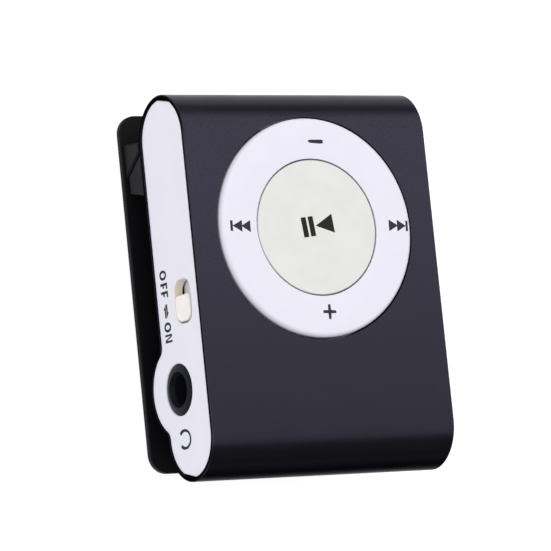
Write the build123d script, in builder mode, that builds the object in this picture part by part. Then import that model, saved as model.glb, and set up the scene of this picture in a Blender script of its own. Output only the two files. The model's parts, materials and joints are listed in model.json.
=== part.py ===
"""Clip-on digital audio player: an extruded sleeve with two end caps, a
four-way ring round a play button, and a sprung belt clip on its back.

The player lies on its clip. +Z leaves the front face, +Y runs towards the
ring's end, and X runs along the extrusion, with the jack's end cap at -X.
The origin is under the middle of the body, on the clip's outer face.
"""
from build123d import *
from math import cos, radians, sin, sqrt
import os

# Body
BODY_WIDTH = 32.0      # along X, the extrusion's length
BODY_HEIGHT = 44.0     # along Y
BODY_DEPTH = 10.4      # along Z, front face to back face
MID_Z = 11.1           # height of the body's middle plane
WALL = 0.45            # sleeve wall
EDGE_CHAMFER = 0.1     # on the sleeve's outer edges, at both ends
CAP_RECESS = 0.15      # end caps sit this far inside the sleeve's ends
CAP_PLATE = 1.1        # end cap plate thickness
CAP_SKIRT = 0.7        # width and depth of the rim behind the plate
CAP_ROUND = 0.15
CAP_GAP = 0.04         # end cap to sleeve
CAP_FLAT = 0.22        # how much each round end of a cap is cut short
CAP_FLAT_TILT = 14.0   # degrees that those cuts lean, to the front at one end and the back at the other

# Headphone jack, whose case makes the bulge along the back
JACK_Y = -11.4
JACK_Z = 9.45
BULGE_R = 5.6
BULGE_Z = 8.55
BULGE_BLEND = 0.7
BORE_R = 1.8           # for a 3.5 mm plug
BORE_DEPTH = 14.0
COLLAR_R = 2.95
COLLAR_DOME = 0.26     # how far the collar's mouth stands out of its edge
COLLAR_SWELL = 0.3     # share of that drop that comes by the middle of the dome
LEAD_IN = 0.25         # how much wider the bore is at its mouth
LEAD_DEPTH = 0.6

# Status light, in the right end cap
LAMP_Y = -13.5
LAMP_Z = 12.7
LAMP_R = 0.8
LAMP_DOME = 0.2
LAMP_BACK = 0.6        # how far the light pipe reaches behind its cap's plate

# Four-way ring and play button
RING_Y = 5.7
RING_R = 12.6
RING_GAP = 0.24        # ring to sleeve
RING_CROWN = 0.55      # how far the ring's crown stands out of the face
RING_DISH = 0.13       # fall from the crown to the ring's inner edge
RING_SHOULDER = (0.55, 0.09)    # width of the rounded shoulder, and fall from the crown to its start
SHOULDER_MIDDLE = (0.16, 0.24)  # the same at the shoulder's middle
RING_WALL_TOP = 0.05   # how far the ring's outer wall stands out of the face
FLANGE_R = 13.2
STEM_R = 0.7           # of the four stems that press the snap domes
BUTTON_R = 7.8
BUTTON_GAP = 0.11      # button to ring
BUTTON_PROUD = 0.38
BUTTON_DISC = 0.6
BUTTON_CHAMFER = 0.1
BRIM_EXTRA = 0.45      # how far the button's brim reaches past its disc
BUTTON_BODY_INSET = 0.05
BUTTON_STEM = (1.2, 0.2)        # radius and height
KEY_RADIUS = 9.9       # from the ring's centre to each of its four switches
PIVOT_RADIUS = 11.9    # from the ring's centre to each point that it rocks on
PIVOT_PAD = (0.8, 0.9)
ROCKER_HOLE_R = 1.15   # round each stem
ROCKER_EDGE = 0.2      # rocker plate inside the ring's flange
ROCKER_BORE_EXTRA = 0.8

# Power switch, in the left end cap
SLOT_Y = -1.725
SLOT_Z = 12.25
SLOT_LENGTH = 4.95
SLOT_WIDTH = 3.6
SLOT_CORNER = 1.3
KNOB_LENGTH = 3.0
KNOB_WIDTH = 3.2
KNOB_ROUND_CORNER = 1.1         # at the ON end
KNOB_SQUARE_CORNER = 0.45       # at the OFF end
KNOB_EDGE = 0.22
KNOB_PROUD = 0.13
KNOB_END_GAP = 0.2     # knob to the slot's end when it is ON
KNOB_OFF_GAP = 0.4     # and when it is OFF, so that its squarer corners clear the slot's round ones

# Clip and hinge
CLIP_HALF_X = 15.55
CLIP_LOW_Y = -19.9
CLIP_HIGH_Y = 21.7
CLIP_THICK = 0.9
CLIP_CORNER = 2.2
PIN_Y = 17.1
PIN_Z = 3.5
PIN_R = 0.5
PIN_LENGTH = 29.8
EYE_R = 1.2            # round the pin, on the bracket's ears and the spring
EAR_THICK = 1.2
CLIP_EAR_X = 14.65     # middle of each clip ear
BODY_EAR_X = 13.3      # middle of each bracket ear
EAR_GAP = 0.5          # clip ear to bracket cheek
RUNNING_GAP = 0.05
BRACKET_THICK = 1.0
BRACKET_LOW_Y = 11.4
BRACKET_HIGH_Y = 18.4
SCREW_X = 8.0
SCREW_Y = 12.8
SCREW_R = 0.6
SCREW_HOLE_R = 0.65

# Inner stack, from the board up
BOARD_TOP = 12.0
BOARD_THICK = 0.8
DOME_TOP = BOARD_TOP + 0.3
STEM_BOTTOM = DOME_TOP + 0.35
ROCKER_Z = (12.85, 13.25)
FLANGE_Z = (13.55, 14.15)
BRIM_Z = (12.7, 13.2)  # the play button's brim, under the ring
PIVOT_GAP = 0.03       # under each point that the ring or its plate rocks on

# Derived planes
FRONT_Z = MID_Z + BODY_DEPTH / 2
BACK_Z = MID_Z - BODY_DEPTH / 2
HALF_X = BODY_WIDTH / 2
CAP_X = HALF_X - CAP_RECESS
CAP_INNER_X = CAP_X - CAP_PLATE
BULGE_HALF_Y = sqrt(BULGE_R ** 2 - (BULGE_Z - BACK_Z) ** 2)
RING_TOP = FRONT_Z + RING_CROWN
BUTTON_TOP = FRONT_Z + BUTTON_PROUD
BOARD_BOTTOM = BOARD_TOP - BOARD_THICK
MOUTH_X = -HALF_X + 0.02
BORE_END_X = MOUTH_X + BORE_DEPTH
BRACKET_Z = BACK_Z - BRACKET_THICK
KNOB_Y = SLOT_Y - SLOT_LENGTH / 2 + KNOB_END_GAP + KNOB_LENGTH / 2   # at the ON end of the slot
KNOB_TRAVEL = SLOT_LENGTH - KNOB_LENGTH - KNOB_END_GAP - KNOB_OFF_GAP
CUT_SPARE = 1.0        # how far a cut runs past what it cuts
OVERLAP = 0.1          # how far joined shapes run into each other
STANDING = (Align.CENTER, Align.CENTER, Align.MIN)

os.makedirs("parts", exist_ok=True)

# Plane.YZ puts its local x on +Y and its local y on +Z, and extrudes to +X


def save(piece, name):
    """Label a finished piece and write it as its own STEP file."""
    piece.label = name
    export_step(piece, "parts/" + name + ".step")


def box_between(low, high, mode=Mode.ADD):
    """Add a box to the open part, or cut one, given its two opposite corners."""
    size = [high[i] - low[i] for i in range(3)]
    middle = [(high[i] + low[i]) / 2 for i in range(3)]
    with Locations(tuple(middle)):
        Box(size[0], size[1], size[2], mode=mode)


def body_outline(inset):
    """Add the sleeve's closed section, a stadium with the jack's bulge, to the open sketch."""
    with BuildSketch(mode=Mode.PRIVATE) as outline:
        with Locations((0, MID_Z)):
            SlotOverall(BODY_HEIGHT, BODY_DEPTH)
        with Locations((JACK_Y, BULGE_Z)):
            Circle(BULGE_R)
        notches = outline.vertices().filter_by(lambda v: v.Y < BACK_Z + 0.01)
        fillet(notches.filter_by(lambda v: abs(abs(v.X - JACK_Y) - BULGE_HALF_Y) < 0.1), BULGE_BLEND)
        if inset > 0:
            offset(amount=-inset, kind=Kind.INTERSECTION, mode=Mode.REPLACE)
    add(outline.sketch)


# ---------------------------------------------------------------- outer shell

with BuildPart() as sleeve:
    with BuildSketch(Plane.YZ.offset(-HALF_X)):
        body_outline(0)
    extrude(amount=BODY_WIDTH)
    with BuildSketch(Plane.YZ.offset(-HALF_X)):
        body_outline(WALL)
    extrude(amount=BODY_WIDTH, mode=Mode.SUBTRACT)
    end_faces = sleeve.faces().filter_by(Axis.X).sort_by(Axis.X)
    chamfer(end_faces[0].outer_wire().edges() + end_faces[-1].outer_wire().edges(), EDGE_CHAMFER)
    with BuildSketch(Plane.XY.offset(MID_Z)):
        with Locations((0, RING_Y)):
            Circle(RING_R + RING_GAP)
    extrude(amount=BODY_DEPTH, mode=Mode.SUBTRACT)
    with BuildSketch(Plane.XY.offset(BACK_Z - CUT_SPARE)):
        with Locations((-SCREW_X, SCREW_Y), (SCREW_X, SCREW_Y)):
            Circle(SCREW_HOLE_R)
    extrude(amount=WALL + 2 * CUT_SPARE, mode=Mode.SUBTRACT)
save(sleeve.part, "sleeve")


def cap_outline():
    """Add an end cap's outline, which follows the sleeve but is cut short at both round ends."""
    body_outline(WALL + CAP_GAP)
    round_centre_y = (BODY_HEIGHT - BODY_DEPTH) / 2
    round_r = BODY_DEPTH / 2 - WALL - CAP_GAP
    half_length = round_centre_y * cos(radians(CAP_FLAT_TILT)) + round_r - CAP_FLAT
    with Locations((0, MID_Z)):
        Rectangle(2 * half_length, 4 * BODY_DEPTH, rotation=CAP_FLAT_TILT, mode=Mode.INTERSECT)


def cap_skirt():
    """Add the rim that keys an end cap into the sleeve, to the open sketch."""
    cap_outline()
    offset(amount=-CAP_SKIRT, kind=Kind.INTERSECTION, mode=Mode.SUBTRACT)


with BuildPart() as left_end_cap:
    with BuildSketch(Plane.YZ.offset(-CAP_X)):
        cap_outline()
    extrude(amount=CAP_PLATE)
    with BuildSketch(Plane.YZ.offset(-CAP_INNER_X)):
        cap_skirt()
    extrude(amount=CAP_SKIRT)
    with BuildSketch(Plane.YZ.offset(-HALF_X)):
        with Locations((JACK_Y, JACK_Z)):
            Circle(COLLAR_R)
        with Locations((SLOT_Y, SLOT_Z)):
            RectangleRounded(SLOT_LENGTH, SLOT_WIDTH, SLOT_CORNER)
    extrude(amount=CAP_RECESS + CAP_PLATE + CUT_SPARE, mode=Mode.SUBTRACT)
    fillet(left_end_cap.faces().sort_by(Axis.X)[0].edges(), CAP_ROUND)
save(left_end_cap.part, "left_end_cap")

with BuildPart() as right_end_cap:
    with BuildSketch(Plane.YZ.offset(CAP_INNER_X)):
        cap_outline()
    extrude(amount=CAP_PLATE)
    with BuildSketch(Plane.YZ.offset(CAP_INNER_X - CAP_SKIRT)):
        cap_skirt()
    extrude(amount=CAP_SKIRT)
    with BuildSketch(Plane.YZ.offset(CAP_INNER_X - CUT_SPARE)):
        with Locations((LAMP_Y, LAMP_Z)):
            Circle(LAMP_R)
    extrude(amount=CAP_PLATE + 2 * CUT_SPARE, mode=Mode.SUBTRACT)
    fillet(right_end_cap.faces().sort_by(Axis.X)[-1].edges(), CAP_ROUND)
save(right_end_cap.part, "right_end_cap")

with BuildPart() as status_light_pipe:
    with BuildSketch(Plane.YZ.offset(CAP_INNER_X - LAMP_BACK)):
        with Locations((LAMP_Y, LAMP_Z)):
            Circle(LAMP_R)
    extrude(amount=CAP_PLATE + LAMP_BACK)
    fillet(status_light_pipe.faces().sort_by(Axis.X)[-1].edges(), LAMP_DOME)
save(status_light_pipe.part, "status_light_pipe")

with BuildPart() as jack_collar:
    with BuildSketch(Plane.XY.offset(JACK_Z)):
        with BuildLine():
            bore = Polyline(
                (-CAP_INNER_X, JACK_Y + BORE_R),
                (MOUTH_X + LEAD_DEPTH, JACK_Y + BORE_R),
                (MOUTH_X, JACK_Y + BORE_R + LEAD_IN),
            )
            dome = ThreePointArc(
                bore @ 1,
                (MOUTH_X + COLLAR_DOME * COLLAR_SWELL, JACK_Y + (BORE_R + LEAD_IN + COLLAR_R) / 2),
                (MOUTH_X + COLLAR_DOME, JACK_Y + COLLAR_R),
            )
            Polyline(dome @ 1, (-CAP_INNER_X, JACK_Y + COLLAR_R), bore @ 0)
        make_face()
    revolve(axis=Axis((0, JACK_Y, JACK_Z), (1, 0, 0)))
save(jack_collar.part, "jack_collar")

# ------------------------------------------------------------- ring and button


def ring_profile():
    """Half section of the four-way ring, crowned on top, with its retaining flange."""
    inner = BUTTON_R + BUTTON_GAP
    with BuildSketch(Plane.XZ) as profile:
        with BuildLine():
            base = Polyline(
                (inner, RING_TOP - RING_DISH),
                (inner, FLANGE_Z[0]),
                (FLANGE_R, FLANGE_Z[0]),
                (FLANGE_R, FLANGE_Z[1]),
                (RING_R, FLANGE_Z[1]),
                (RING_R, FRONT_Z + RING_WALL_TOP),
            )
            shoulder = ThreePointArc(
                base @ 1,
                (RING_R - SHOULDER_MIDDLE[0], RING_TOP - SHOULDER_MIDDLE[1]),
                (RING_R - RING_SHOULDER[0], RING_TOP - RING_SHOULDER[1]),
            )
            ThreePointArc(shoulder @ 1, ((inner + RING_R) / 2, RING_TOP), base @ 0)
        make_face()
    return profile.sketch


with BuildPart() as control_ring:
    add(ring_profile())
    revolve(axis=Axis.Z)
    with PolarLocations(KEY_RADIUS, 4):
        with Locations((0, 0, STEM_BOTTOM)):
            Cylinder(STEM_R, FLANGE_Z[0] - STEM_BOTTOM + OVERLAP, align=STANDING)
control_ring_part = control_ring.part.moved(Location((0, RING_Y, 0)))
save(control_ring_part, "control_ring")

with BuildPart() as play_button_disc:
    with BuildSketch(Plane.XY.offset(BUTTON_TOP - BUTTON_DISC)):
        with Locations((0, RING_Y)):
            Circle(BUTTON_R)
    extrude(amount=BUTTON_DISC)
    chamfer(play_button_disc.faces().sort_by(Axis.Z)[-1].edges(), BUTTON_CHAMFER)
save(play_button_disc.part, "play_button_disc")

with BuildPart() as play_button:
    with Locations((0, RING_Y, BRIM_Z[1])):
        Cylinder(BUTTON_R - BUTTON_BODY_INSET, BUTTON_TOP - BUTTON_DISC - BRIM_Z[1], align=STANDING)
    with Locations((0, RING_Y, BRIM_Z[0])):
        Cylinder(BUTTON_R + BRIM_EXTRA, BRIM_Z[1] - BRIM_Z[0], align=STANDING)
    with Locations((0, RING_Y, BRIM_Z[0] - OVERLAP)):
        Cylinder(BUTTON_STEM[0], BUTTON_STEM[1], align=STANDING)
save(play_button.part, "play_button")

with BuildPart() as rocker_plate:
    with BuildSketch(Plane.XY.offset(ROCKER_Z[0])):
        with Locations((0, RING_Y)):
            Circle(FLANGE_R - ROCKER_EDGE)
            Circle(BUTTON_R + ROCKER_BORE_EXTRA, mode=Mode.SUBTRACT)
            with PolarLocations(KEY_RADIUS, 4):
                Circle(ROCKER_HOLE_R, mode=Mode.SUBTRACT)
    extrude(amount=ROCKER_Z[1] - ROCKER_Z[0])
    with BuildSketch(Plane.XY.offset(ROCKER_Z[1])):
        with Locations((0, RING_Y + PIVOT_RADIUS), (0, RING_Y - PIVOT_RADIUS)):
            Rectangle(PIVOT_PAD[0], PIVOT_PAD[1])
    extrude(amount=FLANGE_Z[0] - ROCKER_Z[1] - PIVOT_GAP)
save(rocker_plate.part, "rocker_plate")

with BuildPart() as rocker_posts:
    with BuildSketch(Plane.XY.offset(BOARD_TOP)):
        with Locations((PIVOT_RADIUS, RING_Y), (-PIVOT_RADIUS, RING_Y)):
            Rectangle(PIVOT_PAD[1], PIVOT_PAD[0])
    extrude(amount=ROCKER_Z[0] - BOARD_TOP - PIVOT_GAP)
save(rocker_posts.part, "rocker_posts")

KEY_FRAME_SIZE = (26.4, 26.0)
KEY_FRAME_Y = 3.7
KEY_FRAME_Z = FLANGE_Z[1] + 0.4

with BuildPart() as key_frame:
    with BuildSketch(Plane.XY.offset(KEY_FRAME_Z)):
        with Locations((0, KEY_FRAME_Y)):
            Rectangle(KEY_FRAME_SIZE[0], KEY_FRAME_SIZE[1])
        with Locations((0, RING_Y)):
            Circle(RING_R + RING_GAP, mode=Mode.SUBTRACT)
    extrude(amount=FRONT_Z - WALL - KEY_FRAME_Z)
save(key_frame.part, "key_frame")

# ----------------------------------------------------------------- power switch

SHOE_X = -CAP_INNER_X + 0.35    # the shoe is the plate behind the knob, which keeps the slot covered
SHOE_THICK = 0.5
SHOE_HALF_Y = KNOB_LENGTH / 2 + KNOB_TRAVEL + 0.6
SHOE_Z = (10.25, 14.2)
LEVER_HALF = 0.7
LEVER_Z = (9.4, 10.2)
PRONG_HALF = 0.35
SWITCH_LOW = (-12.8, -6.0, 8.9)
SWITCH_HIGH = (-10.0, 2.4, BOARD_BOTTOM)
LEVER_INNER_X = -12.2
SWITCH_GAP = 0.1       # round the lever


def knob_outline():
    """Add the knob's outline, rounder at its ON end, to the open sketch in YZ."""
    with BuildSketch(mode=Mode.PRIVATE) as outline:
        with Locations((KNOB_Y, SLOT_Z)):
            Rectangle(KNOB_LENGTH, KNOB_WIDTH)
        fillet(outline.vertices().group_by(Axis.X)[0], KNOB_ROUND_CORNER)
        fillet(outline.vertices().group_by(Axis.X)[-1], KNOB_SQUARE_CORNER)
    add(outline.sketch)


with BuildPart() as power_knob:
    with BuildSketch(Plane.YZ.offset(-CAP_X - KNOB_PROUD)):
        knob_outline()
    extrude(amount=SHOE_X + CAP_X + KNOB_PROUD)
    fillet(power_knob.faces().sort_by(Axis.X)[0].edges(), KNOB_EDGE)
    box_between(
        (SHOE_X, KNOB_Y - SHOE_HALF_Y, SHOE_Z[0]),
        (SHOE_X + SHOE_THICK, KNOB_Y + SHOE_HALF_Y, SHOE_Z[1]),
    )
    for side in (-1, 1):
        prong_y = KNOB_Y + side * (LEVER_HALF + PRONG_HALF)
        box_between(
            (SHOE_X, prong_y - PRONG_HALF, LEVER_Z[0]),
            (SHOE_X + SHOE_THICK, prong_y + PRONG_HALF, SHOE_Z[0]),
        )
save(power_knob.part, "power_knob")

with BuildPart() as slide_switch:
    box_between(SWITCH_LOW, SWITCH_HIGH)
    box_between(
        (SWITCH_LOW[0], KNOB_Y - LEVER_HALF - 2 * SWITCH_GAP, LEVER_Z[0] - SWITCH_GAP),
        (
            LEVER_INNER_X + SWITCH_GAP,
            KNOB_Y + KNOB_TRAVEL + LEVER_HALF + 2 * SWITCH_GAP,
            LEVER_Z[1] + SWITCH_GAP,
        ),
        Mode.SUBTRACT,
    )
save(slide_switch.part, "slide_switch")

with BuildPart() as switch_lever:
    box_between(
        (SHOE_X, KNOB_Y - LEVER_HALF, LEVER_Z[0]),
        (LEVER_INNER_X, KNOB_Y + LEVER_HALF, LEVER_Z[1]),
    )
save(switch_lever.part, "switch_lever")

# ------------------------------------------------------------------ inner parts

JACK_BACK_X = BORE_END_X + 0.4
JACK_HALF_Y = 3.2
JACK_LOW_Z = JACK_Z - 2.9
JACK_HIGH_Z = JACK_Z + 2.65
CONTACT_X = -11.5      # start of the first contact
CONTACT_STEP = 2.8
CONTACT_WIDE = 0.9
CONTACT_THICK = 0.25
CONTACT_DROP = 1.25    # how far the contacts reach below the bore's axis
CONTACT_TAIL = 0.4     # and above the board

with BuildPart() as headphone_jack:
    box_between(
        (-CAP_INNER_X, JACK_Y - JACK_HALF_Y, JACK_LOW_Z),
        (JACK_BACK_X, JACK_Y + JACK_HALF_Y, JACK_HIGH_Z),
    )
    with BuildSketch(Plane.YZ.offset(-CAP_INNER_X)):
        with Locations((JACK_Y, JACK_Z)):
            Circle(BORE_R)
    extrude(amount=BORE_END_X + CAP_INNER_X, mode=Mode.SUBTRACT)
save(headphone_jack.part, "headphone_jack")

with BuildPart() as jack_contacts:
    for place in range(4):
        contact_x = CONTACT_X + place * CONTACT_STEP
        side = 1 if place % 2 else -1
        outer = JACK_Y + side * (JACK_HALF_Y + CONTACT_THICK)
        inner = JACK_Y + side * JACK_HALF_Y
        low = (contact_x, min(outer, inner), JACK_Z - CONTACT_DROP)
        high = (contact_x + CONTACT_WIDE, max(outer, inner), BOARD_TOP + CONTACT_TAIL)
        box_between(low, high)
save(jack_contacts.part, "jack_contacts")

BOARD_HALF_X = 12.9
BOARD_LOW_Y = -18.8
BOARD_HIGH_Y = 18.2
BOARD_SCREW_R = 0.5
BOARD_SCREW_PLACES = ((10.4, -17.2), (-10.4, -17.2))
BOARD_SCREW_HEAD_R = 1.1
BOARD_HOLE_GAP = 0.1   # the screws pass freely through the board
BOARD_CORNER = 1.0
JACK_NOTCH_GAP = 0.3
CHASSIS_Z = BOARD_BOTTOM - 1.3
CHASSIS_SIZE = (26.2, 38.2)
CHASSIS_WINDOW = (23.8, 33.2)
WINDOW_PLACE = (0.6, 0.9)
SIDE_OPENING = (16.0, 18.0)     # lets the jack's case and the switch through
SIDE_OPENING_PLACE = (-10.0, -6.2)
CHIP_HIGH = 0.9
CRYSTAL_HIGH = 0.8
LED_HIGH = 1.1
LED_HALF_Y = 0.6
DOME_R = (1.5, 0.8)             # foot and top of each snap dome
CENTRE_DOME_R = (2.2, 1.2)

with BuildPart() as main_board:
    with BuildSketch(Plane.XY.offset(BOARD_BOTTOM)):
        with Locations((0, (BOARD_LOW_Y + BOARD_HIGH_Y) / 2)):
            RectangleRounded(2 * BOARD_HALF_X, BOARD_HIGH_Y - BOARD_LOW_Y, BOARD_CORNER)
        with Locations((JACK_BACK_X + JACK_NOTCH_GAP, JACK_Y)):
            notch_width = 2 * (JACK_HALF_Y + JACK_NOTCH_GAP)
            Rectangle(BODY_WIDTH, notch_width, align=(Align.MAX, Align.CENTER), mode=Mode.SUBTRACT)
        with Locations(*BOARD_SCREW_PLACES):
            Circle(BOARD_SCREW_R + BOARD_HOLE_GAP, mode=Mode.SUBTRACT)
    extrude(amount=BOARD_THICK)
save(main_board.part, "main_board")

with BuildPart() as board_screws:
    for screw_x, screw_y in BOARD_SCREW_PLACES:
        with Locations((screw_x, screw_y, CHASSIS_Z)):
            Cylinder(BOARD_SCREW_R, BOARD_TOP - CHASSIS_Z, align=STANDING)
        with Locations((screw_x, screw_y, BOARD_TOP)):
            Cylinder(BOARD_SCREW_HEAD_R, BOARD_SCREW_R, align=STANDING)
save(board_screws.part, "board_screws")

with BuildPart() as snap_domes:
    with Locations((0, RING_Y, BOARD_TOP)):
        Cone(CENTRE_DOME_R[0], CENTRE_DOME_R[1], DOME_TOP - BOARD_TOP, align=STANDING)
        with PolarLocations(KEY_RADIUS, 4):
            Cone(DOME_R[0], DOME_R[1], DOME_TOP - BOARD_TOP, align=STANDING)
save(snap_domes.part, "snap_domes")

with BuildPart() as processor:
    box_between((2.2, -15.6, BOARD_TOP), (8.8, -9.0, BOARD_TOP + CHIP_HIGH))
save(processor.part, "processor")

with BuildPart() as memory_chip:
    box_between((0.6, -15.0, BOARD_BOTTOM - CHIP_HIGH), (10.6, -7.4, BOARD_BOTTOM))
save(memory_chip.part, "memory_chip")

with BuildPart() as clock_crystal:
    box_between((-2.0, -18.2, BOARD_TOP), (1.2, -16.4, BOARD_TOP + CRYSTAL_HIGH))
save(clock_crystal.part, "clock_crystal")

with BuildPart() as status_led:
    box_between(
        (11.2, LAMP_Y - LED_HALF_Y, BOARD_TOP),
        (12.6, LAMP_Y + LED_HALF_Y, BOARD_TOP + LED_HIGH),
    )
save(status_led.part, "status_led")

with BuildPart() as chassis:
    with BuildSketch(Plane.XY.offset(CHASSIS_Z)):
        Rectangle(CHASSIS_SIZE[0], CHASSIS_SIZE[1])
        with Locations(WINDOW_PLACE):
            Rectangle(CHASSIS_WINDOW[0], CHASSIS_WINDOW[1], mode=Mode.SUBTRACT)
        with Locations(SIDE_OPENING_PLACE):
            Rectangle(SIDE_OPENING[0], SIDE_OPENING[1], mode=Mode.SUBTRACT)
        with Locations(*BOARD_SCREW_PLACES):
            Circle(BOARD_SCREW_R, mode=Mode.SUBTRACT)
    extrude(amount=BOARD_BOTTOM - CHASSIS_Z)
save(chassis.part, "chassis")

BATTERY_LOW = (-9.4, -4.6, 7.15)
BATTERY_HIGH = (11.2, 11.0, 10.5)
BATTERY_ROUND = 0.8
PAD_INSET = 1.0        # foam pad inside the battery's outline
LEAD_Z = 8.9
LEAD_R = 0.3
LEAD_X = 5.0           # middle of the two leads
LEAD_HALF_PITCH = 1.5
LEAD_REACH = 1.7       # from the battery to the bend
LEAD_BEND = 1.0
NUT_BAR_EXTRA = 4.0    # length past the two screws
NUT_BAR_WIDE = 2.6
NUT_BAR_THICK = 1.2

with BuildPart() as battery:
    box_between(BATTERY_LOW, BATTERY_HIGH)
    fillet(battery.edges().filter_by(Axis.Y), BATTERY_ROUND)
save(battery.part, "battery")

with BuildPart() as battery_pad:
    box_between(
        (BATTERY_LOW[0] + PAD_INSET, BATTERY_LOW[1] + PAD_INSET, BACK_Z + WALL),
        (BATTERY_HIGH[0] - PAD_INSET, BATTERY_HIGH[1] - PAD_INSET, BATTERY_LOW[2]),
    )
save(battery_pad.part, "battery_pad")

with BuildPart() as battery_leads:
    for side in (-1, 1):
        lead_y = BATTERY_LOW[1]
        lead_x = LEAD_X + side * LEAD_HALF_PITCH
        with BuildLine() as route:
            FilletPolyline(
                (lead_x, lead_y, LEAD_Z),
                (lead_x, lead_y - LEAD_REACH, LEAD_Z),
                (lead_x, lead_y - LEAD_REACH, BOARD_BOTTOM),
                radius=LEAD_BEND,
            )
        with BuildSketch(Plane((lead_x, lead_y, LEAD_Z), x_dir=(1, 0, 0), z_dir=(0, -1, 0))):
            Circle(LEAD_R)
        sweep(path=route.line)
save(battery_leads.part, "battery_leads")

with BuildPart() as nut_bar:
    with BuildSketch(Plane.XY.offset(BACK_Z + WALL)):
        with Locations((0, SCREW_Y)):
            Rectangle(2 * SCREW_X + NUT_BAR_EXTRA, NUT_BAR_WIDE)
        with Locations((-SCREW_X, SCREW_Y), (SCREW_X, SCREW_Y)):
            Circle(SCREW_R, mode=Mode.SUBTRACT)
    extrude(amount=NUT_BAR_THICK)
save(nut_bar.part, "nut_bar")

# --------------------------------------------------------------- hinge and clip

EAR_FOOT_Z = CLIP_THICK - 0.2
EAR_TOP_Z = PIN_Z + 1.0
EAR_FOOT_Y = (PIN_Y - 2.9, PIN_Y + 1.3)
EAR_TOP_Y = (PIN_Y - 0.3, PIN_Y + 0.75)
EAR_TOP_ROUND = 0.35
EAR_CHAMFER = 0.2
BRACKET_EAR_FOOT = 3.4          # from the pin to where the bracket's ear leaves its base
BRACKET_EAR_ANGLE = radians(25)
CHEEK_LOW_Z = CLIP_THICK + 0.8
CHEEK_LEAN = 1.0
BRACKET_WIDE_LENGTH = 3.0       # along Y, of the base's wide part
SPRING_NOTCH = (11.0, 8.0)
SCREW_HEAD = (1.15, 0.4)        # radius and height
SCREW_LENGTH = 3.2
PIN_CHAMFER = 0.12


def clip_ear():
    """Add a clip ear's outline, a lug that leans over the pin, to the open sketch in YZ."""
    with BuildSketch(mode=Mode.PRIVATE) as lug:
        Polygon(
            (EAR_FOOT_Y[0], EAR_FOOT_Z),
            (EAR_FOOT_Y[1], EAR_FOOT_Z),
            (EAR_TOP_Y[1], EAR_TOP_Z),
            (EAR_TOP_Y[0], EAR_TOP_Z),
            align=None,
        )
        fillet(lug.vertices().group_by(Axis.Y)[-1], EAR_TOP_ROUND)
    add(lug.sketch)


def bracket_ear():
    """Add a bracket ear's outline, an eye hung from the base, to the open sketch in YZ."""
    with Locations((PIN_Y, PIN_Z)):
        Circle(EYE_R)
    Polygon(
        (PIN_Y - BRACKET_EAR_FOOT, BACK_Z),
        (PIN_Y - EYE_R * cos(BRACKET_EAR_ANGLE), PIN_Z - EYE_R * sin(BRACKET_EAR_ANGLE)),
        (PIN_Y + EYE_R, PIN_Z),
        (BRACKET_HIGH_Y, BACK_Z),
        align=None,
    )


def bracket_cheek():
    """Add the outline of the lug beside a clip ear, to the open sketch in YZ. Its side follows the ear's."""
    lean = (EAR_TOP_Y[0] - EAR_FOOT_Y[0]) / (EAR_TOP_Z - EAR_FOOT_Z)
    shift = EAR_GAP * sqrt(1 + lean ** 2)
    Polygon(
        (BRACKET_LOW_Y, BACK_Z),
        (BRACKET_LOW_Y + CHEEK_LEAN, CHEEK_LOW_Z),
        (EAR_FOOT_Y[0] + lean * (CHEEK_LOW_Z - EAR_FOOT_Z) - shift, CHEEK_LOW_Z),
        (EAR_FOOT_Y[0] + lean * (BACK_Z - EAR_FOOT_Z) - shift, BACK_Z),
        align=None,
    )


def pin_hole(radius, length):
    """Cut the hinge pin's hole out of the open part."""
    with Locations((0, PIN_Y, PIN_Z)):
        Cylinder(radius, length, rotation=(0, 90, 0), mode=Mode.SUBTRACT)


with BuildPart() as hinge_bracket:
    with BuildSketch(Plane.XY.offset(BRACKET_Z)):
        with Locations((0, (BRACKET_LOW_Y + BRACKET_HIGH_Y) / 2)):
            Rectangle(2 * BODY_EAR_X + EAR_THICK, BRACKET_HIGH_Y - BRACKET_LOW_Y)
        with Locations((0, BRACKET_LOW_Y)):
            wide_part = 2 * CLIP_EAR_X + EAR_THICK
            Rectangle(wide_part, BRACKET_WIDE_LENGTH, align=(Align.CENTER, Align.MIN))
        with Locations((0, BRACKET_HIGH_Y)):
            Rectangle(SPRING_NOTCH[0], SPRING_NOTCH[1], mode=Mode.SUBTRACT)
    extrude(amount=BRACKET_THICK)
    for side in (-1, 1):
        with BuildSketch(Plane.YZ.offset(side * BODY_EAR_X - EAR_THICK / 2)):
            bracket_ear()
        extrude(amount=EAR_THICK)
        with BuildSketch(Plane.YZ.offset(side * CLIP_EAR_X - EAR_THICK / 2)):
            bracket_cheek()
        extrude(amount=EAR_THICK)
    with BuildSketch(Plane.XY.offset(BRACKET_Z)):
        with Locations((-SCREW_X, SCREW_Y), (SCREW_X, SCREW_Y)):
            Circle(SCREW_HOLE_R)
    extrude(amount=BRACKET_THICK, mode=Mode.SUBTRACT)
    pin_hole(PIN_R + RUNNING_GAP, BODY_WIDTH)
save(hinge_bracket.part, "hinge_bracket")

with BuildPart() as bracket_screws:
    for side in (-1, 1):
        with Locations((side * SCREW_X, SCREW_Y, BRACKET_Z - SCREW_HEAD[1])):
            Cylinder(SCREW_HEAD[0], SCREW_HEAD[1], align=STANDING)
            Cylinder(SCREW_R, SCREW_LENGTH, align=STANDING)
save(bracket_screws.part, "bracket_screws")

CLIP_OUTER_CHAMFER = 0.2
CLIP_INNER_ROUND = 0.15
GROOVE_STEP = 1.3      # grooves for the thumb, across the clip's back
GROOVE_SIZE = (20.0, 0.7)
GROOVE_DEEP = 0.3
GROOVE_COUNT = 4
GROOVE_INSET = 1.9     # first groove's middle from the clip's end

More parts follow.
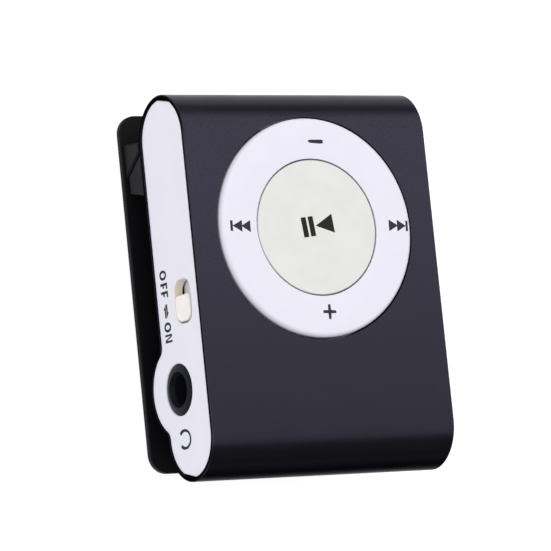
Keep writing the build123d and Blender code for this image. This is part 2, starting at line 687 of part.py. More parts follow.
with BuildPart() as clip_plate:
    with BuildSketch(Plane.XY):
        with Locations((0, (CLIP_LOW_Y + CLIP_HIGH_Y) / 2)):
            RectangleRounded(2 * CLIP_HALF_X, CLIP_HIGH_Y - CLIP_LOW_Y, CLIP_CORNER)
    extrude(amount=CLIP_THICK)
    chamfer(clip_plate.faces().sort_by(Axis.Z)[0].edges(), CLIP_OUTER_CHAMFER)
    fillet(clip_plate.faces().sort_by(Axis.Z)[-1].edges(), CLIP_INNER_ROUND)
    for side in (-1, 1):
        with BuildSketch(Plane.YZ.offset(side * CLIP_EAR_X - EAR_THICK / 2)):
            clip_ear()
        extrude(amount=EAR_THICK)
    outer_sides = clip_plate.faces().filter_by(Axis.X).filter_by(lambda f: f.center().Z > CLIP_THICK)
    outer_sides = outer_sides.sort_by(lambda f: -abs(f.center().X))[:2]
    above_plate = CLIP_THICK + EAR_CHAMFER
    tops = [e for side in outer_sides for e in side.edges() if e.center().Z > above_plate]
    chamfer(tops, EAR_CHAMFER)
    for step in range(GROOVE_COUNT):
        with BuildSketch(Plane.XY):
            with Locations((0, CLIP_HIGH_Y - GROOVE_INSET - step * GROOVE_STEP)):
                SlotOverall(GROOVE_SIZE[0], GROOVE_SIZE[1])
        extrude(amount=GROOVE_DEEP, mode=Mode.SUBTRACT)
    pin_hole(PIN_R, PIN_LENGTH)
save(clip_plate.part, "clip_plate")

with BuildPart() as hinge_pin:
    with BuildSketch(Plane.YZ.offset(-PIN_LENGTH / 2)):
        with Locations((PIN_Y, PIN_Z)):
            Circle(PIN_R)
    extrude(amount=PIN_LENGTH)
    chamfer(hinge_pin.edges().filter_by(GeomType.CIRCLE), PIN_CHAMFER)
save(hinge_pin.part, "hinge_pin")

SPRING_HALF = 4.6
SPRING_WIRE = 0.5
SPRING_LEG = 7.0
LEG_THINNER = 0.03     # keeps the legs' round sides off the plate they lie on

with BuildPart() as torsion_spring:
    with BuildSketch(Plane.YZ.offset(-SPRING_HALF)):
        with Locations((PIN_Y, PIN_Z)):
            Circle(EYE_R)
            Circle(EYE_R - SPRING_WIRE, mode=Mode.SUBTRACT)
    extrude(amount=2 * SPRING_HALF)
    leg_z = PIN_Z - EYE_R + SPRING_WIRE / 2
    for side in (-1, 1):
        leg_x = side * (SPRING_HALF - SPRING_WIRE / 2)
        with BuildSketch(Plane((leg_x, PIN_Y, leg_z), x_dir=(1, 0, 0), z_dir=(0, -1, 0))):
            Circle(SPRING_WIRE / 2 - LEG_THINNER)
        extrude(amount=SPRING_LEG)
save(torsion_spring.part, "torsion_spring")

STRIP_HALF_X = 13.0
STRIP_LOW_Y = JACK_Y - 2.6
STRIP_HIGH_Y = JACK_Y + 2.6
STRIP_TOP = 2.35
RIB_HIGH = 0.5
RIB_STEP = 1.4
RIB_WIDE = 0.7
RIB_COUNT = 4
RIB_INSET = 0.15

with BuildPart() as grip_strip:
    base_top = STRIP_TOP - RIB_HIGH
    box_between((-STRIP_HALF_X, STRIP_LOW_Y, CLIP_THICK), (STRIP_HALF_X, STRIP_HIGH_Y, base_top))
    for step in range(RIB_COUNT):
        rib_y = STRIP_LOW_Y + RIB_INSET + step * RIB_STEP
        box_between((-STRIP_HALF_X, rib_y, base_top), (STRIP_HALF_X, rib_y + RIB_WIDE, STRIP_TOP))
save(grip_strip.part, "grip_strip")
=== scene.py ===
"""Looks of the clip-on audio player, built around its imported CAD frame.

Everything is in metres in the CAD's frame: the player lies on its clip, +Z
leaves the front face, +Y runs towards the ring's end, and the headphone
socket's end cap is at -X.
"""
import bmesh
import bpy
import json
import math
from mathutils import Matrix, Vector
from mathutils.bvhtree import BVHTree


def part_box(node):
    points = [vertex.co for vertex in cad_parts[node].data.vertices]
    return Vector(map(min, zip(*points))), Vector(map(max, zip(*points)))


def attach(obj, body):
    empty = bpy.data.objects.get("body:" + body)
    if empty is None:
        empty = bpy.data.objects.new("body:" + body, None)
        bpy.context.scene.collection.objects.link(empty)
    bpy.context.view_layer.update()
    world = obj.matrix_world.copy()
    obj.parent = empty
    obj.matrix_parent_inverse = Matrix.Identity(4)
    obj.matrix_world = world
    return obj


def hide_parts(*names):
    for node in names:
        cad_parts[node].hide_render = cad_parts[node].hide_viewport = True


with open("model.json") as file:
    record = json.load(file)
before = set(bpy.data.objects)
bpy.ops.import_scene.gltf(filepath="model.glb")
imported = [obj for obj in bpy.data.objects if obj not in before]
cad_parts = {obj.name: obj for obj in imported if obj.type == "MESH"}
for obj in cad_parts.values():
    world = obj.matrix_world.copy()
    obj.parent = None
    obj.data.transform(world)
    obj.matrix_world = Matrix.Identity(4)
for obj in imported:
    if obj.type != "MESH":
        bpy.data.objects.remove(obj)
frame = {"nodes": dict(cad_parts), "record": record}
nodes = frame["nodes"]
bpy.context.view_layer.update()
MM = 0.001

# Places read from the frame
sleeve_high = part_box("sleeve")[1]
cap_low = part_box("left_end_cap")[0]
disc_low, disc_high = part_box("play_button_disc")
pin_low, pin_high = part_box("hinge_pin")
spring_low, spring_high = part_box("torsion_spring")
bracket_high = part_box("hinge_bracket")[1]
BUTTON_CENTRE = (disc_low + disc_high) / 2
PIN_CENTRE = (pin_low + pin_high) / 2


# ------------------------------------------------------------------ materials

# The part of a noise's range over which a colour or a roughness varies
COLOUR_SPAN = (0.35, 0.65)
ROUGHNESS_SPAN = (0.3, 0.7)


def scaled(colour, factor, lift=0.0):
    """A colour made brighter or darker by factor, then raised by lift."""
    return tuple(c * factor + lift for c in colour)


def new_material(name, colour, roughness, metallic=0.0):
    """A material with its all-over values set on the Principled shader's own sockets."""
    material = bpy.data.materials.new(name)
    material.use_nodes = True
    shader = material.node_tree.nodes["Principled BSDF"]
    shader.inputs["Base Color"].default_value = (*colour, 1.0)
    shader.inputs["Roughness"].default_value = roughness
    shader.inputs["Metallic"].default_value = metallic
    return material, shader


def noise(material, grain, detail=2.0, stretch=(1.0, 1.0, 1.0)):
    """Noise whose features are about grain metres across, in the piece's own coordinates."""
    tree = material.node_tree
    place = tree.nodes.new("ShaderNodeTexCoord")
    mapping = tree.nodes.new("ShaderNodeMapping")
    mapping.inputs["Scale"].default_value = stretch
    texture = tree.nodes.new("ShaderNodeTexNoise")
    texture.inputs["Scale"].default_value = 1.0 / grain
    texture.inputs["Detail"].default_value = detail
    tree.links.new(place.outputs["Object"], mapping.inputs["Vector"])
    tree.links.new(mapping.outputs["Vector"], texture.inputs["Vector"])
    return texture.outputs["Fac"]


def remap(material, value, start, end, low=0.0, high=1.0):
    """A factor from low to high as value goes from start to end, held at both ends."""
    span = material.node_tree.nodes.new("ShaderNodeMapRange")
    span.inputs["From Min"].default_value = start
    span.inputs["From Max"].default_value = end
    span.inputs["To Min"].default_value = low
    span.inputs["To Max"].default_value = high
    material.node_tree.links.new(value, span.inputs["Value"])
    return span.outputs["Result"]


def vary_colour(material, shader, factor, dark, light):
    """Base colour that wanders between dark and light with factor."""
    ramp = material.node_tree.nodes.new("ShaderNodeValToRGB")
    for element, position, colour in zip(ramp.color_ramp.elements, COLOUR_SPAN, (dark, light)):
        element.position = position
        element.color = (*colour, 1.0)
    material.node_tree.links.new(factor, ramp.inputs["Fac"])
    material.node_tree.links.new(ramp.outputs["Color"], shader.inputs["Base Color"])


def vary_roughness(material, shader, factor, low, high):
    """Roughness that wanders between low and high with factor."""
    roughness = remap(material, factor, *ROUGHNESS_SPAN, low, high)
    material.node_tree.links.new(roughness, shader.inputs["Roughness"])


def add_bump(material, shader, height, depth, strength=0.5):
    """Surface relief about depth metres deep."""
    bump = material.node_tree.nodes.new("ShaderNodeBump")
    bump.inputs["Distance"].default_value = depth
    bump.inputs["Strength"].default_value = strength
    material.node_tree.links.new(height, bump.inputs["Height"])
    material.node_tree.links.new(bump.outputs["Normal"], shader.inputs["Normal"])


def along_axis(material, kind, axis):
    """One axis of the surface's own "Normal", or of its "Object" place in metres."""
    tree = material.node_tree
    place = tree.nodes.new("ShaderNodeTexCoord")
    split = tree.nodes.new("ShaderNodeSeparateXYZ")
    tree.links.new(place.outputs[kind], split.inputs["Vector"])
    return split.outputs[axis]


def side_mask(material, axis, start, end):
    """A factor from 0 to 1 as the surface's normal, along one axis, goes from start to end."""
    return remap(material, along_axis(material, "Normal", axis), start, end)


def end_mask(material, start, end):
    """A factor from 0 to 1 as a surface turns to face either way along X."""
    size = material.node_tree.nodes.new("ShaderNodeMath")
    size.operation = "ABSOLUTE"
    material.node_tree.links.new(along_axis(material, "Normal", "X"), size.inputs[0])
    return remap(material, size.outputs[0], start, end)


def place_mask(material, axis, start, end):
    """A factor from 0 to 1 as a point's place along one axis, in metres, goes from start to end."""
    return remap(material, along_axis(material, "Object", axis), start, end)


def join_masks(material, operation, first, second):
    """Two factors in one: MAXIMUM gives either's area, MULTIPLY only what both cover."""
    joined = material.node_tree.nodes.new("ShaderNodeMath")
    joined.operation = operation
    material.node_tree.links.new(first, joined.inputs[0])
    material.node_tree.links.new(second, joined.inputs[1])
    return joined.outputs[0]


def tint_where(material, shader, factor, colour):
    """Mix colour over what already feeds the base colour, by factor."""
    tree = material.node_tree
    mix = tree.nodes.new("ShaderNodeMix")
    mix.data_type = "RGBA"
    base = shader.inputs["Base Color"].links[0].from_socket
    tree.links.new(factor, mix.inputs["Factor"])
    tree.links.new(base, mix.inputs["A"])
    mix.inputs["B"].default_value = (*colour, 1.0)
    tree.links.new(mix.outputs["Result"], shader.inputs["Base Color"])


def anodised():
    """Dark blue-grey anodised aluminium with a blasted grain.

    Painted shade darkens it towards -Y, more so where the sleeve turns under, and makes its cut ends
    black.
    """
    material, shader = new_material("anodised_sleeve", (0.03, 0.028, 0.04), 0.3, 1.0)
    fine = noise(material, 0.16 * MM, 3.0)
    broad = noise(material, 5.0 * MM, 2.0)
    vary_colour(material, shader, fine, (0.0285, 0.0265, 0.038), (0.037, 0.035, 0.0495))
    # Painted shade: darker towards the -Y end, darker still where the sleeve turns under and where it
    # faces -Y
    painted_shade_low_end = place_mask(material, "Y", 10 * MM, -26 * MM)
    painted_shade_underside = side_mask(material, "Y", -0.36, -0.5)
    painted_shade_facing_low_end = side_mask(material, "Y", -0.6, -0.8)
    # Painted shade: the cut ends are near black where they would otherwise mirror the pale floor
    painted_shade_cut_end = end_mask(material, 0.75, 0.95)
    tint_where(material, shader, painted_shade_low_end, (0.0185, 0.0172, 0.025))
    tint_where(material, shader, painted_shade_underside, (0.021, 0.0198, 0.0262))
    tint_where(material, shader, painted_shade_facing_low_end, (0.0078, 0.0074, 0.0098))
    tint_where(material, shader, painted_shade_cut_end, (0.006, 0.006, 0.0065))
    # The areas with painted shade, where the sleeve turns under and on its cut ends, also mirror less at a
    # slant
    painted_shade_areas = join_masks(material, "MAXIMUM", painted_shade_underside, painted_shade_cut_end)
    edge_tint = material.node_tree.nodes.new("ShaderNodeMix")
    edge_tint.data_type = "RGBA"
    edge_tint.inputs["A"].default_value = (0.7, 0.7, 0.72, 1.0)
    edge_tint.inputs["B"].default_value = (0.44, 0.44, 0.44, 1.0)
    material.node_tree.links.new(painted_shade_areas, edge_tint.inputs["Factor"])
    material.node_tree.links.new(edge_tint.outputs["Result"], shader.inputs["Specular Tint"])
    vary_roughness(material, shader, broad, 0.28, 0.34)
    add_bump(material, shader, fine, 0.005 * MM, 0.3)
    return material


def white_plastic():
    """Cool white moulding with a satin gloss, with painted warm light, as if bounced off the ivory knob,
    on the wall inside the switch's slot.
    """
    material, shader = new_material("white_plastic", (0.74, 0.73, 0.81), 0.34)
    shader.inputs["IOR"].default_value = 1.49
    shader.inputs["Subsurface Weight"].default_value = 0.08
    shader.inputs["Subsurface Radius"].default_value = (1.0, 0.9, 0.9)
    shader.inputs["Subsurface Scale"].default_value = 0.4 * MM
    broad = noise(material, 3.0 * MM, 3.0)
    fine = noise(material, 0.09 * MM, 2.0)
    vary_colour(material, shader, broad, (0.735, 0.725, 0.8), (0.75, 0.74, 0.815))
    facing_front = side_mask(material, "Z", 0.1, 0.45)
    socket_cap = place_mask(material, "X", -13.5 * MM, -14.0 * MM)
    past_socket = place_mask(material, "Y", -8.0 * MM, -7.5 * MM)
    slot_end = join_masks(material, "MULTIPLY", socket_cap, past_socket)
    # Painted warm light bounced off the ivory knob, on the front-facing walls at the switch's end of the
    # cap
    slot_wall_painted_bounce = join_masks(material, "MULTIPLY", facing_front, slot_end)
    tint_where(material, shader, slot_wall_painted_bounce, (0.87, 0.79, 0.665))
    vary_roughness(material, shader, broad, 0.3, 0.38)
    add_bump(material, shader, fine, 0.003 * MM, 0.25)
    return material


def knob_plastic():
    """Warm ivory moulding of the switch knob."""
    material, shader = new_material("knob_plastic", (0.825, 0.79, 0.765), 0.36)
    broad = noise(material, 1.2 * MM, 2.0)
    fine = noise(material, 0.08 * MM, 2.0)
    vary_colour(material, shader, broad, (0.81, 0.775, 0.74), (0.84, 0.81, 0.79))
    vary_roughness(material, shader, broad, 0.32, 0.42)
    add_bump(material, shader, fine, 0.003 * MM, 0.3)
    return material


def button_metal():
    """Satin silver of the play button's face."""
    material, shader = new_material("button_metal", (0.6, 0.61, 0.575), 0.45, 1.0)
    fine = noise(material, 0.12 * MM, 3.0)
    broad = noise(material, 2.5 * MM, 2.0)
    vary_colour(material, shader, broad, (0.58, 0.58, 0.555), (0.60, 0.60, 0.575))
    vary_roughness(material, shader, fine, 0.42, 0.5)
    add_bump(material, shader, fine, 0.003 * MM, 0.3)
    return material


def black_moulding(name, colour, low, high, grain):
    """Near-black plastic or epoxy with a fine sparked texture."""
    material, shader = new_material(name, colour, (low + high) / 2)
    shader.inputs["Specular IOR Level"].default_value = 0.05
    fine = noise(material, grain, 3.0)
    broad = noise(material, 4.0 * MM, 2.0)
    vary_colour(material, shader, fine, colour, scaled(colour, 1.5))
    vary_roughness(material, shader, broad, low, high)
    add_bump(material, shader, fine, 0.01 * MM, 0.5)
    return material


def rubber(name, colour):
    """Matt rubber, foam or soft insulation."""
    material, shader = new_material(name, colour, 0.75)
    fine = noise(material, 0.2 * MM, 3.0)
    vary_colour(material, shader, fine, colour, scaled(colour, 1.4))
    vary_roughness(material, shader, fine, 0.7, 0.85)
    add_bump(material, shader, fine, 0.012 * MM, 0.5)
    return material


def drawn_metal(name, colour, low, high):
    """Metal with fine lines along X from drawing."""
    material, shader = new_material(name, colour, (low + high) / 2, 1.0)
    lines = noise(material, 0.08 * MM, 2.0, (0.15, 1.0, 1.0))
    vary_colour(material, shader, lines, scaled(colour, 0.85), colour)
    vary_roughness(material, shader, lines, low, high)
    add_bump(material, shader, lines, 0.004 * MM, 0.3)
    return material


def board_green():
    """Solder mask over faint copper."""
    material, shader = new_material("board_green", (0.01, 0.08, 0.03), 0.3)
    copper = noise(material, 0.9 * MM, 1.0)
    vary_colour(material, shader, copper, (0.008, 0.06, 0.022), (0.02, 0.13, 0.045))
    vary_roughness(material, shader, copper, 0.25, 0.4)
    add_bump(material, shader, copper, 0.02 * MM, 0.4)
    return material


def foil():
    """Crinkled silver pouch of the battery."""
    material, shader = new_material("battery_wrap", (0.6, 0.61, 0.62), 0.35, 0.9)
    folds = noise(material, 1.6 * MM, 4.0)
    vary_colour(material, shader, folds, (0.54, 0.55, 0.56), (0.66, 0.67, 0.68))
    vary_roughness(material, shader, folds, 0.28, 0.45)
    add_bump(material, shader, folds, 0.05 * MM, 0.4)
    return material


def clear_plastic():
    """Milky clear moulding of the status light."""
    material, shader = new_material("light_pipe", (0.85, 0.88, 0.86), 0.2)
    shader.inputs["Transmission Weight"].default_value = 0.5
    cloud = noise(material, 0.5 * MM, 2.0)
    vary_colour(material, shader, cloud, (0.8, 0.84, 0.82), (0.88, 0.9, 0.88))
    vary_roughness(material, shader, cloud, 0.16, 0.26)
    return material


def ink(name, colour):
    """Printed ink, slightly uneven in density."""
    material, shader = new_material(name, colour, 0.4)
    shader.inputs["Specular IOR Level"].default_value = 0.1
    fine = noise(material, 0.15 * MM, 2.0)
    vary_colour(material, shader, fine, colour, scaled(colour, 1.5, 0.004))
    vary_roughness(material, shader, fine, 0.35, 0.5)
    return material


finishes = {
    "anodised_sleeve": anodised(),
    "white_plastic": white_plastic(),
    "knob_plastic": knob_plastic(),
    "button_metal": button_metal(),
    "clip_plastic": black_moulding("clip_plastic", (0.0075, 0.0075, 0.0085), 0.34, 0.44, 0.14 * MM),
    "jack_plastic": black_moulding("jack_plastic", (0.007, 0.007, 0.0125), 0.28, 0.36, 0.12 * MM),
    "frame_plastic": black_moulding("frame_plastic", (0.05, 0.05, 0.055), 0.45, 0.55, 0.2 * MM),
    "grip_rubber": rubber("grip_rubber", (0.014, 0.014, 0.014)),
    "steel": drawn_metal("steel", (0.6, 0.61, 0.62), 0.22, 0.34),
    "spring_steel": drawn_metal("spring_steel", (0.4, 0.4, 0.41), 0.25, 0.36),
    "gold_contact": drawn_metal("gold_contact", (0.83, 0.62, 0.25), 0.2, 0.3),
    "board_green": board_green(),
    "chip_black": black_moulding("chip_black", (0.016, 0.016, 0.017), 0.5, 0.6, 0.1 * MM),
    "battery_wrap": foil(),
    "foam": rubber("foam", (0.04, 0.04, 0.042)),
    "lead_insulation": rubber("lead_insulation", (0.45, 0.03, 0.03)),
    "light_pipe": clear_plastic(),
}

slot_of_node = {part["node"]: part["material_slot"] for part in frame["record"]["subparts"]}
for node_name, node in nodes.items():
    for surface in node.material_slots:
        surface.material = finishes[slot_of_node[node_name]]


# ------------------------------------------------------------- mesh utilities

def piece_from(mesh_data, name, material, body):
    """Turn a finished bmesh into a piece that rides on a body."""
    mesh = bpy.data.meshes.new(name)
    mesh_data.to_mesh(mesh)
    mesh_data.free()
    piece = bpy.data.objects.new(name, mesh)
    bpy.context.scene.collection.objects.link(piece)
    mesh.materials.append(material)
    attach(piece, body)
    return piece


INK_TOP = 0.012 * MM     # how far a mark stands over its surface
INK_ROOT = -0.01 * MM    # and how deep it is sunk into it


def printed(name, outlines, place, material, body, cell=0.25 * MM):
    """Thin printed shapes, cut into cells so that they can follow a curved surface.

    Each outline is a closed list of (u, v), and place(u, v, lift) is its point on the surface.
    """
    work = bmesh.new()
    for outline in outlines:
        work.faces.new([work.verts.new((u, v, 0.0)) for u, v in outline])
    for axis in range(2):
        normal = Vector((1.0, 0.0, 0.0)) if axis == 0 else Vector((0.0, 1.0, 0.0))
        lowest = min(p[axis] for outline in outlines for p in outline)
        highest = max(p[axis] for outline in outlines for p in outline)
        for step in range(1, int((highest - lowest) / cell) + 1):
            everything = work.verts[:] + work.edges[:] + work.faces[:]
            cut = normal * (lowest + step * cell)
            bmesh.ops.bisect_plane(work, geom=everything, plane_co=cut, plane_no=normal)
    bmesh.ops.triangulate(work, faces=work.faces[:])
    flat = work.faces[:]
    grown = bmesh.ops.extrude_face_region(work, geom=flat, use_keep_orig=True)
    top = {element for element in grown["geom"] if isinstance(element, bmesh.types.BMVert)}
    for vertex in work.verts:
        lift = INK_TOP if vertex in top else INK_ROOT
        vertex.co = place(vertex.co.x, vertex.co.y, lift)
    bmesh.ops.recalc_face_normals(work, faces=work.faces[:])
    return piece_from(work, name, material, body)


def stroke(points, widths, closed=False):
    """Outlines of the quads that make a line of varying width through points."""
    count = len(points)
    left, right = [], []
    for index in range(count):
        before = points[index - 1] if index or closed else points[index]
        after = points[(index + 1) % count] if index + 1 < count or closed else points[index]
        along = Vector((after[0] - before[0], after[1] - before[1])).normalized()
        side = Vector((-along.y, along.x)) * widths[index] / 2
        here = Vector(points[index])
        left.append(here + side)
        right.append(here - side)
    spans = range(count if closed else count - 1)
    return [
        [tuple(left[i]), tuple(right[i]), tuple(right[(i + 1) % count]), tuple(left[(i + 1) % count])]
        for i in spans
    ]


def moved(outlines, du, dv, turn=0.0):
    """Outlines turned by turn degrees and shifted by (du, dv)."""
    c, s = math.cos(math.radians(turn)), math.sin(math.radians(turn))
    return [[(c * u - s * v + du, s * u + c * v + dv) for u, v in outline] for outline in outlines]


def arc(radius_u, radius_v, start, end, steps):
    """Points along an elliptical arc, angles in degrees."""
    angles = [math.radians(start + (end - start) * i / steps) for i in range(steps + 1)]
    return [(radius_u * math.cos(a), radius_v * math.sin(a)) for a in angles]


# -------------------------------------------------------------------- legends

grey_ink = ink("ring_ink", (0.022, 0.022, 0.03))
olive_ink = ink("button_ink", (0.010, 0.012, 0.004))
black_ink = ink("cap_ink", (0.006, 0.006, 0.008))

ring_mesh = nodes["control_ring"].data
ring_surface = BVHTree.FromPolygons(
    [vertex.co.copy() for vertex in ring_mesh.vertices],
    [tuple(face.vertices) for face in ring_mesh.polygons],
)
RAY_START = sleeve_high.z + 10 * MM


def on_ring(u, v, lift):
    """A point on the ring's crown, u along X and v along Y from the ring's centre."""
    start = Vector((BUTTON_CENTRE.x + u, BUTTON_CENTRE.y + v, RAY_START))
    hit = ring_surface.ray_cast(start, Vector((0.0, 0.0, -1.0)))[0]
    return Vector((start.x, start.y, hit.z + lift))


def on_button(u, v, lift):
    """A point on the play button's flat face."""
    return Vector((BUTTON_CENTRE.x + u, BUTTON_CENTRE.y + v, disc_high.z + lift))


def on_cap(u, v, lift):
    """A point on the left end cap's face. u reads towards -Y and v towards the front."""
    return Vector((cap_low.x - lift, -u, v))


def minus_sign():
    """A short bar that thickens a little towards +X, with pinched ends."""
    length, spans = 1.95 * MM, 6
    points = [(-length / 2 + length * i / spans, 0.0) for i in range(spans + 1)]
    widths = [(0.34 + 0.16 * i / spans) * MM for i in range(spans + 1)]
    widths[0] = 0.22 * MM
    widths[-1] = 0.36 * MM
    return stroke(points, widths)


def plus_sign():
    """Two crossed bars, as one outline."""
    reach, half = 0.85 * MM, 0.19 * MM
    tip = half * 0.8
    return [[
        (reach, -tip), (reach, tip), (half, half), (tip, reach), (-tip, reach), (-half, half),
        (-reach, tip), (-reach, -tip), (-half, -half), (-tip, -reach), (tip, -reach), (half, -half),
    ]]


def skip_sign():
    """A bar and two arrowheads that point at it, towards -X."""
    bar, half_bar, left = 0.3 * MM, 0.6 * MM, -1.35 * MM
    head, tall = 1.22 * MM, 1.35 * MM
    shapes = [[(left, -half_bar), (left + bar, -half_bar), (left + bar, half_bar), (left, half_bar)]]
    for past_bar in (-0.02 * MM, 1.08 * MM):
        tip = left + bar + past_bar
        back = tip + head
        shapes.append([(tip, 0.0), (back, -tall / 2), (back, tall / 2)])
    return shapes


def play_pause_sign():
    """Two bars and an arrowhead that points at them."""
    bar, tall, pitch, left = 0.66 * MM, 2.3 * MM, 0.93 * MM, -2.15 * MM
    gap, head, half_head = 0.2 * MM, 2.35 * MM, 1.1 * MM
    shapes = []
    for place in (left, left + pitch):
        shapes.append([
            (place, -tall / 2), (place + bar, -tall / 2), (place + bar, tall / 2), (place, tall / 2),
        ])
    tip = left + pitch + bar + gap
    back = tip + head
    shapes.append([(tip, 0.0), (back, -half_head), (back, half_head)])
    return shapes


def flipped(outlines):
    """Outlines mirrored left to right."""
    return [[(-u, v) for u, v in reversed(outline)] for outline in outlines]


LEGEND_R = 10.25 * MM    # from the ring's centre to its marks, before each mark's own shift
RING_TURN = -2.0         # degrees the ring's marks are turned
BUTTON_TURN = 6.5        # degrees the button's mark is turned
ring_marks = {
    "volume_down_mark": (minus_sign(), 0.85 * MM, LEGEND_R - 0.4 * MM),
    "volume_up_mark": (plus_sign(), 0.45 * MM, 0.5 * MM - LEGEND_R),
    "skip_back_mark": (skip_sign(), 0.2 * MM - LEGEND_R, 0.25 * MM),
    "skip_forward_mark": (flipped(skip_sign()), LEGEND_R + 0.55 * MM, 0.0),
}
for mark_name, (outlines, du, dv) in ring_marks.items():
    printed(mark_name, moved(outlines, du, dv, RING_TURN), on_ring, grey_ink, "ring")
button_mark = moved(play_pause_sign(), 0.22 * MM, 0.2 * MM, BUTTON_TURN)
printed("play_pause_mark", button_mark, on_button, olive_ink, "button")

LETTER = 1.55 * MM       # letter height
PEN = 0.3 * MM           # line width of O and F
O_WIDTH = 1.15 * MM


def letter_o():
    """An oval ring, of 24 points 15 degrees apart."""
    points = arc((O_WIDTH - PEN) / 2, (LETTER - PEN) / 2, 0, 345, 23)
    return stroke(points, [PEN] * len(points), closed=True)


def letter_f():
    """A stem with two arms, as one outline."""
    wide, high, low = 0.72 * MM, LETTER / 2, -LETTER / 2
    arm = 0.02 * MM
    arm_end = wide / 2 - 0.12 * MM
    stem = -wide / 2 + PEN
    return [[
        (-wide / 2, low), (stem, low), (stem, arm - PEN), (arm_end, arm - PEN), (arm_end, arm),
        (stem, arm), (stem, high - PEN), (wide / 2, high - PEN), (wide / 2, high), (-wide / 2, high),
    ]]


def letter_n():
    """Two stems and a diagonal, as one outline. Its lines are finer, as three stand side by side."""
    wide, high, low = 0.94 * MM, LETTER / 2, -LETTER / 2
    stem, slant = 0.23 * MM, 0.31 * MM
    return [[
        (-wide / 2, low), (-wide / 2 + stem, low), (-wide / 2 + stem, high - slant),
        (wide / 2 - slant, low), (wide / 2, low), (wide / 2, high), (wide / 2 - stem, high),
        (wide / 2 - stem, low + slant), (-wide / 2 + slant, high), (-wide / 2, high),
    ]]


def switch_arrows():
    """Two half arrows that point opposite ways."""
    reach, gap, pen = 0.78 * MM, 0.045 * MM, 0.3 * MM
    barb_back, barb_high, barb_foot = 0.6 * MM, 0.5 * MM, 0.66 * MM
    half = [
        (-reach, gap), (reach, gap), (reach - barb_back, gap + barb_high),
        (reach - barb_foot, gap + pen), (-reach, gap + pen),
    ]
    return [half, [(-u, -v) for u, v in half]]


def headphone_sign():
    """An open band whose ends thicken into ear pads."""
    points = arc(1.0 * MM, 1.25 * MM, -50, 230, 28)
    pad_width, band_width, pad_points = 0.4 * MM, 0.31 * MM, 4
    widths = []
    for index in range(len(points)):
        from_end = min(index, len(points) - 1 - index)
        widths.append(pad_width if from_end < pad_points else band_width)
    return stroke(points, widths)


LEGEND_Z = 8.27 * MM     # the height of the switch's words
word_off = moved(letter_o(), -1.82 * MM, LEGEND_Z)
word_off += moved(letter_f(), -0.56 * MM, LEGEND_Z)
word_off += moved(letter_f(), 0.38 * MM, LEGEND_Z)
word_on = moved(letter_o(), 4.12 * MM, LEGEND_Z)
word_on += moved(letter_n(), 5.39 * MM, LEGEND_Z)
cap_marks = {
    "off_mark": word_off,
    "on_mark": word_on,
    "switch_arrows_mark": moved(switch_arrows(), 2.28 * MM, LEGEND_Z),
    "headphone_mark": moved(headphone_sign(), 17.05 * MM, 9.75 * MM),
}
# The cap is flat, so its marks need cells no finer than a letter
for mark_name, outlines in cap_marks.items():
    printed(mark_name, outlines, on_cap, black_ink, "player", LETTER)


# ------------------------------------------------------------- torsion spring

def wire(name, points, radius, body):
    """Round wire along points, with domed ends, as one closed mesh."""
    sides = 10
    work = bmesh.new()
    rings = []
    side = None
    for index, point in enumerate(points):
        before = points[max(index - 1, 0)]
        after = points[min(index + 1, len(points) - 1)]
        along = (after - before).normalized()
        if side is None:
            side = along.orthogonal().normalized()
        side = (side - along * side.dot(along)).normalized()
        up = along.cross(side)
        ring = []
        for step in range(sides):
            turn = 2 * math.pi * step / sides
            ring.append(work.verts.new(point + (side * math.cos(turn) + up * math.sin(turn)) * radius))
        rings.append(ring)
    for first, second in zip(rings, rings[1:]):
        for step in range(sides):
            following = (step + 1) % sides
            work.faces.new((first[step], first[following], second[following], second[step]))
    work.faces.new(list(reversed(rings[0])))
    work.faces.new(rings[-1])
    bmesh.ops.recalc_face_normals(work, faces=work.faces[:])
    for face in work.faces:
        face.smooth = len(face.verts) == 4
    return piece_from(work, name, finishes["spring_steel"], body)


WIRE_R = 0.22 * MM
COIL_R = 0.96 * MM
TURNS = 17.5
STEPS_PER_TURN = 24
coil_start = spring_low.x + WIRE_R
coil_end = spring_high.x - WIRE_R


def coil_point(turn):
    """A point on the spring's winding, counted in turns from its -X end."""
    angle = 2 * math.pi * turn - math.pi / 2
    x = coil_start + (coil_end - coil_start) * turn / TURNS
    return Vector((x, PIN_CENTRE.y + COIL_R * math.cos(angle), PIN_CENTRE.z + COIL_R * math.sin(angle)))


winding = [coil_point(step / STEPS_PER_TURN) for step in range(int(TURNS * STEPS_PER_TURN) + 1)]
coil = wire("spring_coil", winding, WIRE_R, "clip")
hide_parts("torsion_spring")

# Each leg starts inside the coil's wire and runs towards -Y
low_z = coil_point(0).z
clip_leg = [Vector((coil_start, PIN_CENTRE.y - reach * MM, low_z)) for reach in (-0.1, 1.0, 3.0, 5.0, 7.0)]
wire("spring_clip_leg", clip_leg, WIRE_R, "clip")
top_z = coil_point(TURNS).z
body_leg_path = (
    (-0.1, top_z),
    (1.2, top_z - 0.04 * MM),
    (2.4, bracket_high.z - 1.27 * MM),
    (4.4, bracket_high.z - 1.27 * MM),
    (5.6, bracket_high.z - 0.9 * MM),
    (6.4, bracket_high.z - 0.3 * MM),
)
body_leg = [Vector((coil_end, PIN_CENTRE.y - reach * MM, height)) for reach, height in body_leg_path]
wire("spring_body_leg", body_leg, WIRE_R, "player")


# ------------------------------------------------------ camera, floor, lights

BODY_CENTRE = Vector((0.0, 0.0, 11.1 * MM))
CAMERA_PITCH = 8.74      # degrees
CAMERA_YAW = -30.75
CAMERA_ROLL = -1.28
CAMERA_OFFSET = Vector((-2.47 * MM, 1.04 * MM, 480.3 * MM))
LENS_MM = 274.4

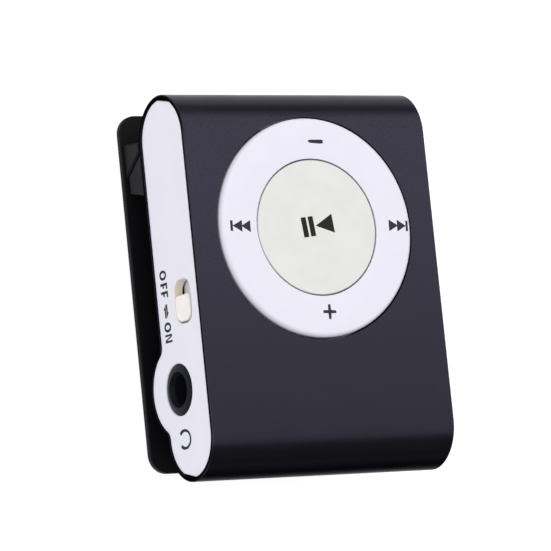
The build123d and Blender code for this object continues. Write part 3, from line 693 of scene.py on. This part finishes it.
camera_data = bpy.data.cameras.new("camera")
camera_data.lens = LENS_MM
camera_data.sensor_width = 36.0
camera_data.clip_start = 0.01
camera_data.clip_end = 20.0
camera = bpy.data.objects.new("camera", camera_data)
bpy.context.scene.collection.objects.link(camera)
camera.matrix_world = (
    Matrix.Translation(BODY_CENTRE)
    @ Matrix.Rotation(math.radians(CAMERA_PITCH), 4, "X")
    @ Matrix.Rotation(math.radians(CAMERA_YAW), 4, "Y")
    @ Matrix.Rotation(math.radians(CAMERA_ROLL), 4, "Z")
    @ Matrix.Translation(CAMERA_OFFSET)
)
bpy.context.scene.camera = camera


FLOOR_R = 1.5
FLOOR_DROP = 0.02 * MM   # keeps the floor clear of the clip's outer face


def make_floor():
    """A wide pale disc under the player, clear from below so that the clip's back can be seen."""
    work = bmesh.new()
    bmesh.ops.create_circle(work, cap_ends=True, segments=96, radius=FLOOR_R)
    mesh = bpy.data.meshes.new("floor")
    work.to_mesh(mesh)
    work.free()
    floor = bpy.data.objects.new("floor", mesh)
    bpy.context.scene.collection.objects.link(floor)
    floor.location.z = -FLOOR_DROP
    material, shader = new_material("floor_white", (0.3, 0.3, 0.3), 0.9)
    shader.inputs["Specular IOR Level"].default_value = 0.0
    shader.inputs["Emission Color"].default_value = (1.0, 1.0, 1.0, 1.0)
    shader.inputs["Emission Strength"].default_value = 0.85
    tree = material.node_tree
    side = tree.nodes.new("ShaderNodeNewGeometry")
    clear = tree.nodes.new("ShaderNodeBsdfTransparent")
    choose = tree.nodes.new("ShaderNodeMixShader")
    tree.links.new(side.outputs["Backfacing"], choose.inputs["Fac"])
    tree.links.new(shader.outputs["BSDF"], choose.inputs[1])
    tree.links.new(clear.outputs["BSDF"], choose.inputs[2])
    tree.links.new(choose.outputs["Shader"], tree.nodes["Material Output"].inputs["Surface"])
    mesh.materials.append(material)


def soft_light(name, place, aim, size, power, colour=(1.0, 1.0, 1.0)):
    """A rectangular area light, size being its two sides, that faces aim."""
    data = bpy.data.lights.new(name, "AREA")
    data.shape = "RECTANGLE"
    data.size = size[0]
    data.size_y = size[1]
    data.energy = power
    data.color = colour
    light = bpy.data.objects.new(name, data)
    bpy.context.scene.collection.objects.link(light)
    light.location = place
    toward = Vector(aim) - Vector(place)
    light.rotation_euler = toward.to_track_quat("-Z", "Y").to_euler()


make_floor()
# The overhead box is what the sleeve's front mirrors. Its edges end the bright part of both round sides.
soft_light("overhead_box", (0.3, 0.31, 0.5), (0.3, 0.31, 0.0), (1.3, 1.25), 6.55)
soft_light("side_light", (-0.75, -0.1, 0.35), BODY_CENTRE, (0.5, 0.5), 2.0, (0.96, 0.97, 1.0))

world = bpy.data.worlds.new("studio")
bpy.context.scene.world = world
world.use_nodes = True
background = world.node_tree.nodes["Background"]
background.inputs["Color"].default_value = (0.93, 0.94, 1.0, 1.0)
background.inputs["Strength"].default_value = 0.3
bpy.context.scene.view_settings.view_transform = "Standard"

bpy.context.view_layer.update()
